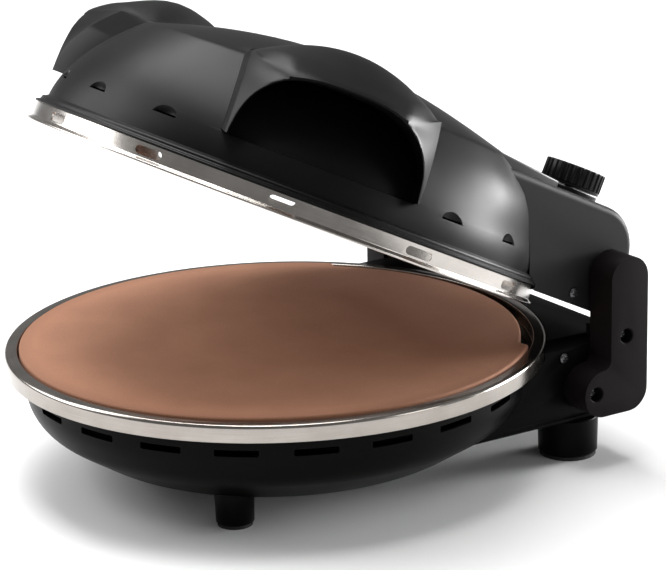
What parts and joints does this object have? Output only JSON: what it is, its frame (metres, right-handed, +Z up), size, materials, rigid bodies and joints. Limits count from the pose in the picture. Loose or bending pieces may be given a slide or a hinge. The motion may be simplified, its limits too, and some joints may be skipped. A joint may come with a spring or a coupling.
{
  "type": "countertop pizza oven",
  "caption": "Round countertop pizza oven: a baking stone in a steel ring on a vented dish, with a hinged domed lid, finger hoods and a thermostat knob behind the lid.",
  "frame": {"origin": "middle of the oven's length and width, on the table, with the lid at its rest opening", "axes": "+Z up, front of the oven towards -Y, hinge towards +Y, knob on the +X side"},
  "size_m": [0.35, 0.375, 0.2955],
  "materials": {
    "black_plastic": "matte black",
    "arm_plastic": "matte dark grey",
    "panel_plastic": "satin black",
    "steel": "polished",
    "stone": "unglazed",
    "aluminium": "satin",
    "element": "oxidised",
    "zinc": "zinc plated",
    "rubber": "matte",
    "ceramic": "unglazed"
  },
  "bodies": {
    "base": {"base_dish": "black_plastic", "base_ring": "steel", "baking_stone": "stone", "lower_reflector": "aluminium", "lower_element": "element", "lower_clip_1": "zinc", "lower_clip_2": "zinc", "lower_clip_3": "zinc", "base_hinge_housing": "black_plastic", "housing_cover": "black_plastic", "terminal_block": "ceramic", "cord_gland": "rubber", "front_foot_right": "black_plastic", "front_foot_left": "black_plastic", "rear_foot_right": "black_plastic", "rear_foot_left": "black_plastic", "front_pad_right": "rubber", "front_pad_left": "rubber", "rear_pad_right": "rubber", "rear_pad_left": "rubber", "hinge_arm_right": "arm_plastic", "hinge_arm_left": "arm_plastic", "arm_screw_upper_right": "zinc", "arm_screw_upper_left": "zinc", "arm_screw_lower_right": "zinc", "arm_screw_lower_left": "zinc", "hinge_pin_right": "zinc", "hinge_pin_left": "zinc", "hinge_washer_right": "zinc", "hinge_washer_left": "zinc", "housing_screw_right": "zinc", "housing_screw_left": "zinc"},
    "lid": {"lid_dome": "black_plastic", "lid_band": "steel", "upper_reflector": "aluminium", "upper_element": "element", "upper_clip_1": "zinc", "upper_clip_2": "zinc", "upper_clip_3": "zinc", "lid_hinge_housing": "black_plastic", "control_panel": "panel_plastic", "knob_collar": "black_plastic", "thermostat_body": "ceramic", "lid_screw_right": "zinc", "lid_screw_left": "zinc"},
    "knob": {"thermostat_knob": "black_plastic", "thermostat_shaft": "zinc"}
  },
  "joints": [
    {"name": "lid_hinge", "type": "hinge", "parent": "base", "child": "lid", "pos_m": [0, 0.16604, 0.114], "axis": [-1, 0, 0], "range_deg": [-26, 64]},
    {"name": "thermostat_turn", "type": "hinge", "parent": "lid", "child": "knob", "pos_m": [0.0935, 0.15556, 0.17919], "axis": [0, 0.4384, 0.8988], "range_deg": [-270, 0]}
  ]
}
